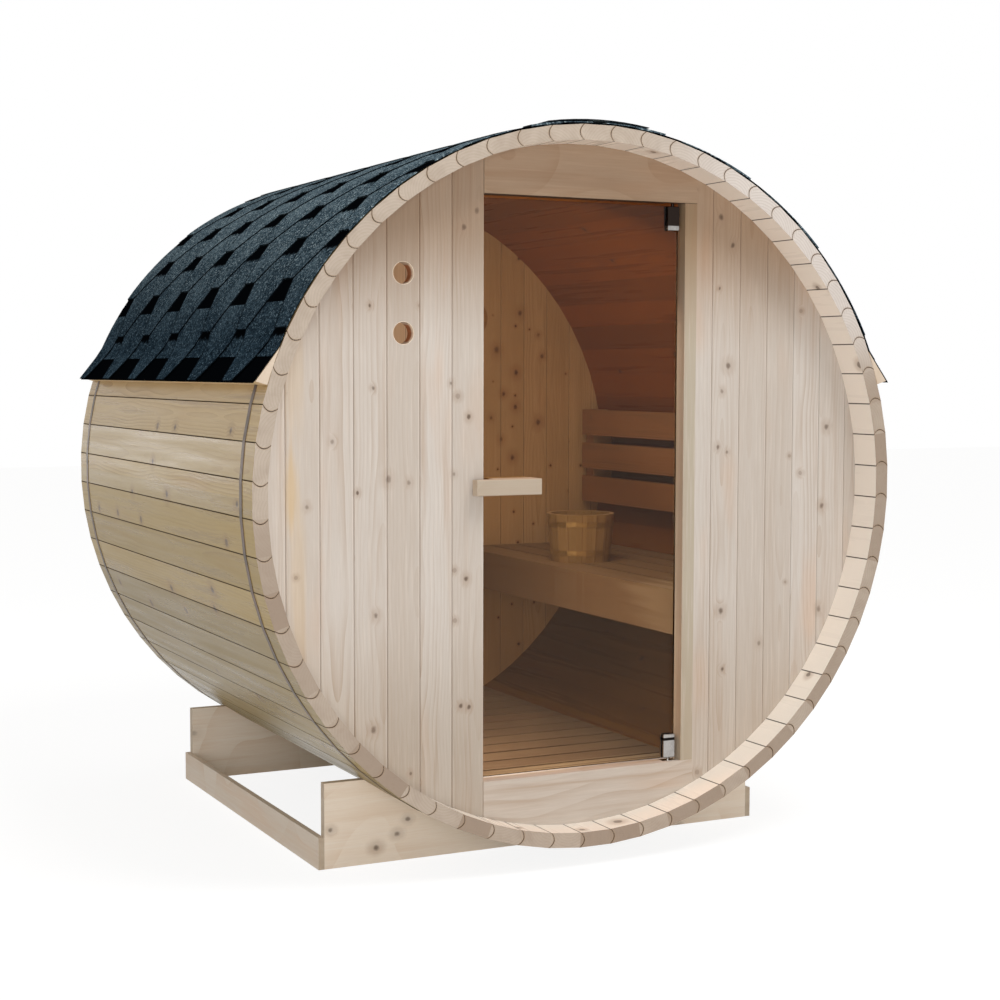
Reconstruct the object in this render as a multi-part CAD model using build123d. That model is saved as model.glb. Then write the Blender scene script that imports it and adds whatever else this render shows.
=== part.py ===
from build123d import *
import math
import os

# A wooden barrel sauna. X runs to the right, Y runs from the door to the back wall, Z is up.
# The origin is on the ground, under the middle of the barrel. Lengths are in millimetres.

# Barrel of staves
stave_count = 64
staves_per_sector = 8
barrel_width = 1900.0
barrel_length = 1720.0
stave_thickness = 40.0
bead_rise = 12.0
bead_flats = 5
joint_gap = 0.3
seat_gap = 0.3
cut_margin = 1.0

# End walls of tongue and groove boards, standing in the croze grooves
wall_recess = 98.0
wall_thickness = 40.0
croze_depth = 10.0
board_cover = 91.0
board_bevel = 2.5
tongue_length = 8.0
tongue_thickness = 10.0
vent_diameter = 57.0
vent_spacing = 152.0
vent_drop = 209.5
vent_board_count = 3

# Doorway, with the height of wood left above and below it
doorway_left = -285.0
doorway_width = 610.0
doorway_rim = 180.5
jamb_width = 38.0

# Glass door on two corner pivots
glass_thickness = 8.0
glass_inset = 27.0
latch_side_gap = 5.5
hinge_side_gap = 9.0
door_end_gap = 8.0
pivot_offset = 25.0
clamp_width = 36.0
clamp_height = 66.0
clamp_depth = 24.0
clamp_grip = 12.0
clamp_bevel = 1.5
pin_diameter = 8.0
pin_length = 20.0
pin_running_gap = 0.05
pivot_plate_length = 46.0
pivot_plate_width = 24.0
pivot_plate_thickness = 3.0
pin_pocket_diameter = 12.0

# Handle, a bar outside that overlaps the wall and a block through to the glass
handle_overlap = 38.0
handle_length = 188.0
handle_height = 42.0
handle_thickness = 28.0
handle_middle = 10.0
handle_round = 3.0
handle_wall_gap = 12.0
grip_block_length = 125.0
inner_grip_reach = 35.0
handle_bolt_diameter = 8.0
handle_bolt_spacing = 80.0
bolt_hole_gap = 0.3

# Cabin fittings
cabin_floor_drop = 30.0
slat_thickness = 22.0
slat_width = 92.0
slat_gap = 10.0
runner_width = 40.0
runner_spacing = 500.0
bench_height = 500.0
bench_inset = 335.0
bench_board_thickness = 28.0
bench_board_width = 92.0
bench_board_gap = 11.0
apron_height = 125.0
apron_thickness = 22.0
bearer_width = 45.0
bearer_height = 70.0
backrest_lift = 149.5
backrest_slat_height = 90.0
backrest_slat_gap = 28.0
backrest_slat_thickness = 18.0
backrest_slat_count = 3
backrest_end_gap = 24.0
upright_width = 50.0
upright_depth = 76.7

# Water pail on the right-hand bench
pail_setback = 155.0
pail_y = 120.0
pail_top_diameter = 220.0
pail_base_diameter = 190.0
pail_height = 155.0
pail_wall = 14.0
pail_stave_count = 20
pail_hoop_width = 16.0
pail_hoop_thickness = 1.0
pail_hoop_inset = 31.0

# Dial on the back wall
dial_diameter = 130.0
dial_thickness = 15.0
dial_setback = 50.0
dial_drop = 274.5

# Steel bands
band_width = 20.0
band_thickness = 1.0
band_inset = 86.0
band_gap = 16.0
lug_height = 20.0
lug_thickness = 2.0
band_bolt_diameter = 6.0
band_nut_width = 10.0
band_nut_thickness = 5.0

# Roof of shingle courses
eave_angle = 22.8
eave_wedge_depth = 31.0
eave_wedge_face = 97.0
drip_overhang = 8.0
course_exposure = 145.0
eave_exposure = 90.0
ridge_angle = 90.0
shingle_top_thickness = 3.5
shingle_butt_thickness = 7.0
ridge_cap_width = 300.0
ridge_cap_thickness = 4.0

# Cradle
ground_clearance = 54.0
support_length = 1329.0
support_height = 230.0
support_thickness = 24.0
front_support_inset = 278.0
back_support_inset = 232.0
rail_height = 86.0
rail_thickness = 16.0

# Worked out from the sizes above
half_stave = 180 / stave_count
outer_apothem = barrel_width / 2
inner_apothem = outer_apothem - stave_thickness
outer_corner = outer_apothem / math.cos(math.radians(half_stave))
inner_corner = inner_apothem / math.cos(math.radians(half_stave))
disc_apothem = inner_apothem + croze_depth - seat_gap
room_apothem = inner_apothem - seat_gap
axis_height = outer_apothem + ground_clearance
barrel_axis = Axis((0, 0, axis_height), (0, -1, 0))
front_end = -barrel_length / 2
back_end = barrel_length / 2
front_wall_face = front_end + wall_recess
front_wall_inside = front_wall_face + wall_thickness
back_wall_face = back_end - wall_recess
back_wall_inside = back_wall_face - wall_thickness
doorway_right = doorway_left + doorway_width
doorway_top = outer_apothem - doorway_rim
doorway_bottom = -doorway_top
jamb_right = doorway_right + jamb_width
floor_level = doorway_bottom - cabin_floor_drop
bench_level = floor_level + bench_height
glass_left = doorway_left + latch_side_gap
glass_right = doorway_right - hinge_side_gap
glass_top = doorway_top - door_end_gap
pane_y = front_wall_face + glass_inset
pane_front = pane_y - glass_thickness / 2
pane_back = pane_y + glass_thickness / 2
pivot_x = doorway_right - pivot_offset


def polar(radius, angle):
    turn = math.radians(angle)
    return (radius * math.cos(turn), radius * math.sin(turn))


def cross_section(sketch, front, back):
    """Carry a front-view outline, drawn about the barrel axis, from one Y to another."""
    plane = Plane(origin=(0, back, axis_height), x_dir=(1, 0, 0), z_dir=(0, -1, 0))
    return extrude(plane * sketch, amount=back - front)


def barrel_bore(apothem, front, back):
    """A many-sided space round the barrel axis, with a flat for each stave."""
    outline = RegularPolygon(apothem, stave_count, major_radius=False, rotation=half_stave)
    return cross_section(outline, front, back)


def block(left, right, front, back, bottom, top):
    """A board between limits, with heights measured from the barrel axis."""
    middle = ((left + right) / 2, (front + back) / 2, axis_height + (bottom + top) / 2)
    return Pos(middle) * Box(right - left, back - front, top - bottom)


def rod(x, y, bottom, top, diameter):
    """An upright cylinder, with heights measured from the barrel axis."""
    middle = (x, y, axis_height + (bottom + top) / 2)
    return Pos(middle) * Cylinder(diameter / 2, top - bottom)


def cross_rod(x, front, back, height, diameter):
    """A cylinder along Y, with its height measured from the barrel axis."""
    middle = (x, (front + back) / 2, axis_height + height)
    return Pos(middle) * Rot(90, 0, 0) * Cylinder(diameter / 2, back - front)


def other_side(solids):
    return [mirror(solid, about=Plane.YZ) for solid in solids]


def upside_down(solid):
    return mirror(solid, about=Plane.XY.offset(axis_height))


def write_node(name, items):
    solids = []
    for item in items:
        solids.extend(item.solids())
    export_step(Compound(children=solids), os.path.join("parts", name + ".step"))


# Staves: each has a bead along one edge, a cove along the other, and a croze near each end
def stave_edge(angle, shift):
    """Points down a stave's bead or cove in narrow flats, from the outer corner to the inner one."""
    middle_radius = (inner_corner + outer_corner) / 2
    half_chord = (outer_corner - inner_corner) / 2
    bend = (half_chord**2 + bead_rise**2) / (2 * bead_rise)
    half_sweep = math.asin(half_chord / bend)
    points = []
    for number in range(bead_flats + 1):
        swing = half_sweep * (1 - 2 * number / bead_flats)
        out_x, out_z = polar(middle_radius + bend * math.sin(swing), angle)
        across_x, across_z = polar(shift + bend * math.cos(swing) - bend + bead_rise, angle + 90)
        points.append((out_x + across_x, out_z + across_z))
    return points


def make_stave():
    bead = stave_edge(half_stave, 0)
    cove = stave_edge(-half_stave, joint_gap)
    outline = Polyline(*bead, *reversed(cove), close=True)
    stave = cross_section(make_face(outline), front_end, back_end)
    groove_floor = inner_apothem + croze_depth
    groove_start = inner_apothem - stave_thickness
    reach = outer_corner * math.tan(math.radians(2 * half_stave))
    for front, back in ((front_wall_face, front_wall_inside), (back_wall_inside, back_wall_face)):
        stave -= block(groove_start, groove_floor, front - seat_gap, back + seat_gap, -reach, reach)
    return stave


def make_staves():
    names = ("top", "upper_left", "left", "lower_left", "bottom", "lower_right", "right", "upper_right")
    stave = make_stave()
    for sector, name in enumerate(names):
        first = sector * staves_per_sector - staves_per_sector // 2
        numbers = range(first, first + staves_per_sector)
        copies = [stave.rotate(barrel_axis, 90 + 2 * half_stave * number) for number in numbers]
        write_node("staves_" + name, copies)


# End walls: upright boards cut to the croze grooves
def wall_board(left, right, front):
    """One upright board, with its tongue on the right, its groove on the left and bevelled joints."""
    back = front + wall_thickness
    middle = (front + back) / 2
    start = left + joint_gap
    half_tongue = tongue_thickness / 2
    half_groove = half_tongue + joint_gap
    outline = Polyline(
        (start + board_bevel, front),
        (right - board_bevel, front),
        (right, front + board_bevel),
        (right, middle - half_tongue),
        (right + tongue_length, middle - half_tongue),
        (right + tongue_length, middle + half_tongue),
        (right, middle + half_tongue),
        (right, back - board_bevel),
        (right - board_bevel, back),
        (start + board_bevel, back),
        (start, back - board_bevel),
        (start, middle + half_groove),
        (start + tongue_length, middle + half_groove),
        (start + tongue_length, middle - half_groove),
        (start, middle - half_groove),
        (start, front + board_bevel),
        close=True,
    )
    board = extrude(Plane.XY * make_face(outline), amount=2 * axis_height)
    return board & barrel_bore(disc_apothem, front, back)


def board_row(start, stop, front):
    """Boards side by side from start towards stop, until the barrel ends them."""
    step = math.copysign(board_cover, stop - start)
    boards = []
    edge = start
    while abs(edge) < disc_apothem - tongue_length:
        left, right = sorted((edge, edge + step))
        boards.append(wall_board(left, right, front))
        edge += step
    return boards


def pivot_plate_space():
    """The block of the upper pivot plate, let into the header over the hinge pin."""
    return block(
        pivot_x - pivot_plate_length / 2,
        pivot_x + pivot_plate_length / 2,
        pane_y - pivot_plate_width / 2,
        pane_y + pivot_plate_width / 2,
        doorway_top,
        doorway_top + pivot_plate_thickness,
    )


def make_front_wall():
    left_boards = board_row(doorway_left, -disc_apothem, front_wall_face)
    right_boards = board_row(doorway_right, disc_apothem, front_wall_face)
    clearing = block(doorway_left, jamb_right, front_end, back_end, -outer_apothem, outer_apothem)
    left_boards[0] -= clearing
    right_boards[0] -= clearing
    vent_board = left_boards.pop(vent_board_count - 1)
    vent_x = doorway_left - vent_board_count * board_cover + board_cover / 2
    upper_vent = doorway_top - vent_drop
    drill_start = front_wall_face - cut_margin
    drill_end = front_wall_inside + cut_margin
    for height in (upper_vent, upper_vent - vent_spacing):
        vent_board -= cross_rod(vent_x, drill_start, drill_end, height, vent_diameter)
    write_node("front_wall_left", left_boards)
    write_node("front_wall_vent_board", [vent_board])
    write_node("front_wall_right", right_boards)
    header = block(
        doorway_left + joint_gap,
        jamb_right,
        front_wall_face,
        front_wall_inside,
        doorway_top,
        outer_apothem,
    )
    header &= barrel_bore(disc_apothem, front_wall_face, front_wall_inside)
    header -= pivot_plate_space()
    header -= rod(pivot_x, pane_y, doorway_top, doorway_top + pin_length, pin_pocket_diameter)
    write_node("door_header", [header])
    write_node("door_sill", [upside_down(header)])
    jamb = block(
        doorway_right, jamb_right, front_wall_face, front_wall_inside, doorway_bottom, doorway_top
    )
    write_node("hinge_jamb", [jamb])


def make_back_wall():
    first_joint = -board_cover / 2
    boards = board_row(first_joint, disc_apothem, back_wall_inside)
    boards += board_row(first_joint, -disc_apothem, back_wall_inside)
    write_node("back_wall", boards)


# Door: a sheet of glass held at two corners by clamps that turn on pins
def glass_corner(clearance):
    """The corner that is missing from the glass, inside the upper clamp."""
    return block(
        glass_right - clamp_width + clamp_grip + clearance,
        glass_right,
        pane_front - clearance,
        pane_back + clearance,
        glass_top - clamp_height + clamp_grip + clearance,
        glass_top,
    )


def make_clamp():
    clamp_left = glass_right - clamp_width
    clamp_bottom = glass_top - clamp_height
    clamp = block(
        clamp_left,
        glass_right,
        pane_y - clamp_depth / 2,
        pane_y + clamp_depth / 2,
        clamp_bottom,
        glass_top,
    )
    clamp = chamfer(clamp.edges(), clamp_bevel)
    glass_space = block(
        clamp_left - cut_margin,
        glass_right + cut_margin,
        pane_front - joint_gap,
        pane_back + joint_gap,
        clamp_bottom - cut_margin,
        glass_top + cut_margin,
    )
    clamp -= glass_space - glass_corner(joint_gap)
    pin_bottom = clamp_bottom + clamp_height / 2
    pin_top = doorway_top + pin_length - seat_gap
    return clamp + rod(pivot_x, pane_y, pin_bottom, pin_top, pin_diameter)


def make_door():
    clamp = make_clamp()
    write_node("pivot_clamps", [clamp, upside_down(clamp)])
    pin_hole = pin_diameter + 2 * pin_running_gap
    plate = pivot_plate_space()
    plate -= rod(pivot_x, pane_y, doorway_top, doorway_top + pivot_plate_thickness, pin_hole)
    write_node("pivot_plates", [plate, upside_down(plate)])
    glass = block(glass_left, glass_right, pane_front, pane_back, -glass_top, glass_top)
    corner = glass_corner(0)
    glass -= corner
    glass -= upside_down(corner)
    make_handle(glass)


def make_handle(glass):
    bar_back = front_wall_face - handle_wall_gap
    bar_front = bar_back - handle_thickness
    bar_left = doorway_left - handle_overlap
    bar_right = bar_left + handle_length
    low = handle_middle - handle_height / 2
    high = handle_middle + handle_height / 2
    block_left = bar_right - grip_block_length
    block_middle = bar_right - grip_block_length / 2
    bar = block(bar_left, bar_right, bar_front, bar_back, low, high)
    bar = fillet(bar.edges().filter_by(Axis.X), handle_round)
    reach = block(block_left, bar_right, bar_back - handle_round, pane_front, low, high)
    outer = bar + reach
    inner = block(block_left, bar_right, pane_back, pane_back + inner_grip_reach, low, high)
    inner = fillet(inner.edges().filter_by(Axis.X), handle_round)
    bolt_start = pane_front - handle_thickness
    bolt_end = pane_back + inner_grip_reach
    hole = handle_bolt_diameter + 2 * bolt_hole_gap
    bolts = []
    for side in (-1, 1):
        bolt_x = block_middle + side * handle_bolt_spacing / 2
        bolts.append(cross_rod(bolt_x, bolt_start, bolt_end, handle_middle, handle_bolt_diameter))
        sleeve = cross_rod(bolt_x, bolt_start - bolt_hole_gap, bolt_end + cut_margin, handle_middle, hole)
        outer -= sleeve
        inner -= sleeve
        glass -= sleeve
    write_node("door_glass", [glass])
    write_node("door_handle", [outer])
    write_node("inner_handle", [inner])
    write_node("handle_bolts", bolts)


# Cabin: slatted floor on two runners
def make_floor():
    front = front_wall_inside + seat_gap
    back = back_wall_inside - seat_gap
    room = barrel_bore(room_apothem, front, back)
    underside = floor_level - slat_thickness
    count = int((back - front + slat_gap) // (slat_width + slat_gap))
    pitch = (back - front - slat_width) / (count - 1)
    slats = []
    for number in range(count):
        start = front + number * pitch
        slat = block(-room_apothem, room_apothem, start, start + slat_width, underside, floor_level)
        slats.append(slat & room)
    write_node("floor_slats", slats)
    inner_side = (runner_spacing - runner_width) / 2
    runner = block(inner_side, inner_side + runner_width, front, back, -inner_apothem, underside)
    runner &= room
    write_node("floor_runners", [runner] + other_side([runner]))


# Cabin: a bench and a backrest on each side
def make_bench():
    front = front_wall_inside + seat_gap
    back = back_wall_inside - seat_gap
    room = barrel_bore(room_apothem, front, back)
    seat_underside = bench_level - bench_board_thickness
    apron_back = bench_inset + apron_thickness
    boards = [block(bench_inset, apron_back, front, back, bench_level - apron_height, bench_level)]
    deepest = math.sqrt(room_apothem**2 - seat_underside**2)
    left = apron_back + seat_gap
    while left + bench_board_width / 2 < deepest:
        right = left + bench_board_width
        board = block(left, right, front, back, seat_underside, bench_level)
        boards.append(board & room)
        left = right + bench_board_gap
    bearers = []
    for middle in (front + bearer_width / 2, (front + back) / 2, back - bearer_width / 2):
        bearer = block(
            apron_back + seat_gap,
            room_apothem,
            middle - bearer_width / 2,
            middle + bearer_width / 2,
            seat_underside - bearer_height,
            seat_underside,
        )
        bearers.append(bearer & room)
    write_node("right_bench_boards", boards)
    write_node("left_bench_boards", other_side(boards))
    write_node("right_bench_bearers", bearers)
    write_node("left_bench_bearers", other_side(bearers))


def make_backrest():
    front = front_wall_inside + backrest_end_gap
    back = back_wall_inside - backrest_end_gap
    room = barrel_bore(room_apothem, front, back)
    slat_back = room_apothem - upright_depth
    slat_front = slat_back - backrest_slat_thickness
    pitch = backrest_slat_height + backrest_slat_gap
    bottom = bench_level + backrest_lift
    top = bottom + backrest_slat_count * pitch - backrest_slat_gap
    slats = []
    for number in range(backrest_slat_count):
        low = bottom + number * pitch
        slats.append(block(slat_front, slat_back, front, back, low, low + backrest_slat_height))
    uprights = []
    for middle in (front + upright_width / 2, (front + back) / 2, back - upright_width / 2):
        upright = block(
            slat_back,
            room_apothem,
            middle - upright_width / 2,
            middle + upright_width / 2,
            bottom,
            top,
        )
        uprights.append(upright & room)
    write_node("right_backrest_slats", slats)
    write_node("left_backrest_slats", other_side(slats))
    write_node("backrest_uprights", uprights + other_side(uprights))


# Cabin: coopered pail with two hoops
def staved_cone(bottom, top, bottom_radius, top_radius):
    """A tapered round body with a flat for each of the pail's staves."""
    foot = Pos(0, 0, bottom) * RegularPolygon(bottom_radius, pail_stave_count)
    rim = Pos(0, 0, top) * RegularPolygon(top_radius, pail_stave_count)
    return loft([foot, rim])


def make_pail():
    base = Pos(bench_inset + pail_setback, pail_y, axis_height + bench_level)
    foot_radius = pail_base_diameter / 2
    rim_radius = pail_top_diameter / 2
    slope = (rim_radius - foot_radius) / pail_height
    body = staved_cone(0, pail_height, foot_radius, rim_radius)
    inside_radius = foot_radius + slope * pail_wall - pail_wall
    body -= staved_cone(pail_wall, pail_height, inside_radius, rim_radius - pail_wall)
    write_node("water_pail", [base * body])
    hoops = []
    for height in (pail_hoop_inset, pail_height - pail_hoop_inset):
        low = height - pail_hoop_width / 2
        high = height + pail_hoop_width / 2
        low_inside = foot_radius + slope * low + seat_gap
        high_inside = foot_radius + slope * high + seat_gap
        hoop = staved_cone(low, high, low_inside + pail_hoop_thickness, high_inside + pail_hoop_thickness)
        hoop -= staved_cone(low, high, low_inside, high_inside)
        hoops.append(base * hoop)
    write_node("pail_hoops", hoops)


def make_dial():
    dial_x = doorway_right + dial_setback
    dial_height = doorway_top - dial_drop
    dial_face = back_wall_inside - dial_thickness
    write_node("wall_dial", [cross_rod(dial_x, dial_face, back_wall_inside, dial_height, dial_diameter)])


# Steel bands, lying flat on each stave and drawn together under the barrel by a bolt through two lugs
def make_bands():
    band_inside = outer_apothem + seat_gap
    band_outside = band_inside + band_thickness
    lug_reach = band_outside + lug_height
    lug_start = band_inside + band_thickness / 2
    half_gap = band_gap / 2
    across = half_gap + lug_thickness
    hole = band_bolt_diameter + 2 * seat_gap
    middles = {"front": front_end + band_inset, "back": back_end - band_inset}
    bolts = []
    for name, middle in middles.items():
        front = middle - band_width / 2
        back = middle + band_width / 2
        band = barrel_bore(band_outside, front, back) - barrel_bore(band_inside, front, back)
        band -= block(-half_gap, half_gap, front, back, -lug_reach, 0)
        lug = block(half_gap, across, front, back, -lug_reach, -lug_start)
        band += lug
        band += mirror(lug, about=Plane.YZ)
        axle = Pos(0, middle, axis_height - band_outside - lug_height / 2) * Rot(0, 90, 0)
        band -= axle * Cylinder(hole / 2, band_inside)
        bolt = axle * Cylinder(band_bolt_diameter / 2, 2 * (across + band_nut_thickness))
        nut = extrude(RegularPolygon(band_nut_width / 2, 6), amount=band_nut_thickness)
        nut = axle * Pos(0, 0, across + seat_gap) * nut
        bolts.append(bolt + nut + mirror(nut, about=Plane.YZ))
        write_node("steel_band_" + name, [band])
    write_node("band_bolts", bolts)


# Roof: a wedge batten at each eave throws the shingle courses clear of the staves
def eave_points():
    """The wedge batten's corners: top on the barrel, outer tip, and lower corner on the barrel."""
    batten_face = outer_corner + seat_gap
    sweep = math.degrees(eave_wedge_face / batten_face)
    top = polar(batten_face, eave_angle)
    lower = polar(batten_face, eave_angle - sweep)
    away = polar(eave_wedge_depth, eave_angle - sweep)
    tip = (lower[0] + away[0], lower[1] + away[1])
    return top, tip, lower


def make_eaves():
    top, tip, lower = eave_points()
    batten_face = outer_corner + seat_gap
    sweep = math.degrees(eave_wedge_face / batten_face)
    middle = polar(batten_face, eave_angle - sweep / 2)
    outline = Line(top, tip) + Line(tip, lower) + ThreePointArc(lower, middle, top)
    batten = cross_section(make_face(outline), front_end, back_end)
    for band_middle in (front_end + band_inset, back_end - band_inset):
        front = band_middle - band_width / 2 - seat_gap
        back = band_middle + band_width / 2 + seat_gap
        batten -= cross_section(Circle(batten_face + band_thickness + seat_gap), front, back)
    write_node("right_eave_batten", [batten])
    write_node("left_eave_batten", other_side([batten]))


def make_roof():
    top, tip, lower = eave_points()
    lining = outer_corner + seat_gap + band_thickness + seat_gap
    start = polar(lining, eave_angle)
    batten_slope = math.hypot(tip[0] - top[0], tip[1] - top[1])
    run_x = (tip[0] - top[0]) / batten_slope
    run_z = (tip[1] - top[1]) / batten_slope
    flat_length = batten_slope + drip_overhang
    middle_radius = lining + (shingle_top_thickness + shingle_butt_thickness) / 2

    def on_flat(distance, thickness):
        """A point over the batten, measured up from the drip edge."""
        along = flat_length - distance
        return (start[0] + run_x * along - run_z * thickness, start[1] + run_z * along + run_x * thickness)

    outline = Polyline(
        on_flat(0, 0),
        on_flat(0, shingle_butt_thickness),
        on_flat(eave_exposure, shingle_top_thickness),
        on_flat(eave_exposure, shingle_butt_thickness),
        polar(middle_radius, eave_angle),
    )
    degrees_per_mm = math.degrees(1 / lining)
    raised = polar(middle_radius, eave_angle)
    angle = eave_angle
    following = angle + (eave_exposure + course_exposure - flat_length) * degrees_per_mm
    while angle < ridge_angle:
        middle = polar(middle_radius, (angle + following) / 2)
        point = polar(lining + shingle_top_thickness, following)
        outline += ThreePointArc(raised, middle, point)
        angle = following
        following = min(angle + course_exposure * degrees_per_mm, ridge_angle)
        if angle < ridge_angle:
            raised = polar(lining + shingle_butt_thickness, angle)
            outline += Line(point, raised)
    foot = polar(lining, ridge_angle)
    outline += Line(point, foot)
    outline += ThreePointArc(foot, polar(lining, (ridge_angle + eave_angle) / 2), start)
    outline += Line(start, on_flat(0, 0))
    right = cross_section(make_face(outline), front_end, back_end)
    write_node("roof_shingles_right", [right])
    write_node("roof_shingles_left", other_side([right]))
    cap_inside = lining + shingle_butt_thickness + seat_gap
    cap_outside = cap_inside + ridge_cap_thickness
    reach = math.degrees(ridge_cap_width / 2 / cap_inside)
    first, last = ridge_angle - reach, ridge_angle + reach
    cap = ThreePointArc(
        polar(cap_outside, first), polar(cap_outside, ridge_angle), polar(cap_outside, last)
    )
    cap += Line(polar(cap_outside, last), polar(cap_inside, last))
    cap += ThreePointArc(
        polar(cap_inside, last), polar(cap_inside, ridge_angle), polar(cap_inside, first)
    )
    cap += Line(polar(cap_inside, first), polar(cap_outside, first))
    write_node("roof_ridge_cap", [cross_section(make_face(cap), front_end, back_end)])


# Cradle: two cross boards cut to the barrel, tied by a rail at each end
def make_cradle():
    bottom = -axis_height
    half = support_length / 2
    seat = barrel_bore(outer_apothem + seat_gap, front_end, back_end)
    front_start = front_end + front_support_inset
    back_start = back_end - back_support_inset - support_thickness
    for name, start in (("front", front_start), ("back", back_start)):
        board = block(-half, half, start, start + support_thickness, bottom, bottom + support_height)
        write_node("cradle_support_" + name, [board - seat])
    rail = block(
        half + seat_gap,
        half + seat_gap + rail_thickness,
        front_start,
        back_start + support_thickness,
        bottom,
        bottom + rail_height,
    )
    write_node("cradle_rail_right", [rail])
    write_node("cradle_rail_left", other_side([rail]))


os.makedirs("parts", exist_ok=True)
make_staves()
make_front_wall()
make_back_wall()
make_door()
make_floor()
make_bench()
make_backrest()
make_pail()
make_dial()
make_bands()
make_eaves()
make_roof()
make_cradle()
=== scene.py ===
import bpy
import math
from types import SimpleNamespace
from mathutils import Euler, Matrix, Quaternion, Vector


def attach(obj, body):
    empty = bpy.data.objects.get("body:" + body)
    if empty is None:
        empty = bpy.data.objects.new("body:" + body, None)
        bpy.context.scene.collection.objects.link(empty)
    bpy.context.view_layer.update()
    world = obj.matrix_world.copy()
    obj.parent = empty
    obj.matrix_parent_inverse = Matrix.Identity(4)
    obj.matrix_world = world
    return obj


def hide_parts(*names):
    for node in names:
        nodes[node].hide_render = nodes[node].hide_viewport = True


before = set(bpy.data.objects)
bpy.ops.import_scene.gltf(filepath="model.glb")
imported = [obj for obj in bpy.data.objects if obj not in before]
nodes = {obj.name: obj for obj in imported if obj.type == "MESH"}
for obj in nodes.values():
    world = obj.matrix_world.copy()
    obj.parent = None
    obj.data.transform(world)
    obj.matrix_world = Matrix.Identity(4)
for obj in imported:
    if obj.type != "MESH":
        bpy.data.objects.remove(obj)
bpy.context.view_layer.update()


print("frame loaded,", len(nodes), "nodes")

barrel = {
    "axisHeight": 1.004,
    "staveCount": 64,
    "stavePitch": 0.0933,   # round the outside
    "frontEnd": -0.860,
    "backEnd": 0.860,
    "lining": 0.95275,      # radius that the roof is laid to
}
barrelCentre = (0, 0, barrel["axisHeight"])


# small helpers for modelling

def objectMode():
    bpy.ops.object.mode_set(mode="OBJECT")


def deselectAll():
    if bpy.context.object and bpy.context.object.mode != "OBJECT":
        objectMode()
    bpy.ops.object.select_all(action="DESELECT")


def makeActive(piece):
    deselectAll()
    piece.select_set(True)
    bpy.context.view_layer.objects.active = piece


def pickAll(piece, kind="VERT"):
    makeActive(piece)
    bpy.ops.object.mode_set(mode="EDIT")
    bpy.ops.mesh.select_mode(type=kind)
    bpy.ops.mesh.select_all(action="SELECT")


def pick(piece, test, kind="VERT"):
    # leaves the piece in edit mode with only what passes the test selected
    pickAll(piece, kind)
    bpy.ops.mesh.select_all(action="DESELECT")
    objectMode()
    for item in piece.data.vertices if kind == "VERT" else piece.data.polygons:
        item.select = bool(test(item))
    bpy.ops.object.mode_set(mode="EDIT")


def copyPiece(piece, name):
    makeActive(piece)
    bpy.ops.object.duplicate(linked=False)
    twin = bpy.context.object
    twin.name = name
    twin.data.name = name
    return twin


def settle(piece):
    # puts the place, turn and size into the mesh
    makeActive(piece)
    bpy.ops.object.transform_apply(location=True, rotation=True, scale=True)


def removePiece(piece):
    makeActive(piece)
    bpy.ops.object.delete()


# small helpers for materials

def plug(tree, socket, value):
    if isinstance(value, bpy.types.NodeSocket):
        tree.links.new(value, socket)
    elif value is not None:
        socket.default_value = value


def addNode(tree, kind, sockets=None, **settings):
    node = tree.nodes.new(kind)
    for key, value in settings.items():
        setattr(node, key, value)
    for key, value in (sockets or {}).items():
        plug(tree, node.inputs[key], value)
    return node


def calc(tree, operation, first, second=None, third=None):
    return addNode(tree, "ShaderNodeMath", {0: first, 1: second, 2: third}, operation=operation).outputs[0]


def plus(tree, first, second):
    return calc(tree, "ADD", first, second)


def minus(tree, first, second):
    return calc(tree, "SUBTRACT", first, second)


def times(tree, first, second):
    return calc(tree, "MULTIPLY", first, second)


def hypotenuse(tree, first, second):
    return calc(tree, "SQRT", plus(tree, times(tree, first, first), times(tree, second, second)))


def vectorCalc(tree, operation, first, second=None):
    node = addNode(tree, "ShaderNodeVectorMath", {0: first, 1: second}, operation=operation)
    return node.outputs["Value" if operation in ("DISTANCE", "LENGTH") else "Vector"]


def splitVector(tree, vector):
    return addNode(tree, "ShaderNodeSeparateXYZ", {0: vector}).outputs


def joinVector(tree, x, y, z):
    return addNode(tree, "ShaderNodeCombineXYZ", {0: x, 1: y, 2: z}).outputs[0]


def ramp(tree, value, low, high, toLow=0.0, toHigh=1.0, smooth=True):
    sockets = {"Value": value, "From Min": low, "From Max": high, "To Min": toLow, "To Max": toHigh}
    kind = "SMOOTHSTEP" if smooth else "LINEAR"
    return addNode(tree, "ShaderNodeMapRange", sockets, interpolation_type=kind).outputs["Result"]


def blend(tree, amount, first, second, mode="MIX"):
    first, second = (v if isinstance(v, bpy.types.NodeSocket) else tuple(v) + (1.0,) for v in (first, second))
    node = addNode(tree, "ShaderNodeMix", data_type="RGBA", blend_type=mode, clamp_factor=True)
    for number, value in ((0, amount), (6, first), (7, second)):
        plug(tree, node.inputs[number], value)
    return node.outputs[2]


def mixShaders(tree, amount, first, second):
    return addNode(tree, "ShaderNodeMixShader", {0: amount, 1: first.outputs[0], 2: second.outputs[0]})


def noise(tree, vector, scale, detail=3.0, rough=0.5):
    sockets = {"Vector": vector, "Scale": scale, "Detail": detail, "Roughness": rough}
    return addNode(tree, "ShaderNodeTexNoise", sockets).outputs["Fac"]


def seenRays(tree):
    # 1 for what the camera sees, straight, mirrored or through the glass
    path = addNode(tree, "ShaderNodeLightPath").outputs
    seen = calc(tree, "MAXIMUM", path["Is Camera Ray"], path["Is Glossy Ray"])
    return calc(tree, "MAXIMUM", seen, path["Is Transmission Ray"])


def newMaterial(name):
    material = bpy.data.materials.new(name)
    material.use_nodes = True
    tree = material.node_tree
    return material, tree, tree.nodes["Principled BSDF"]


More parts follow.
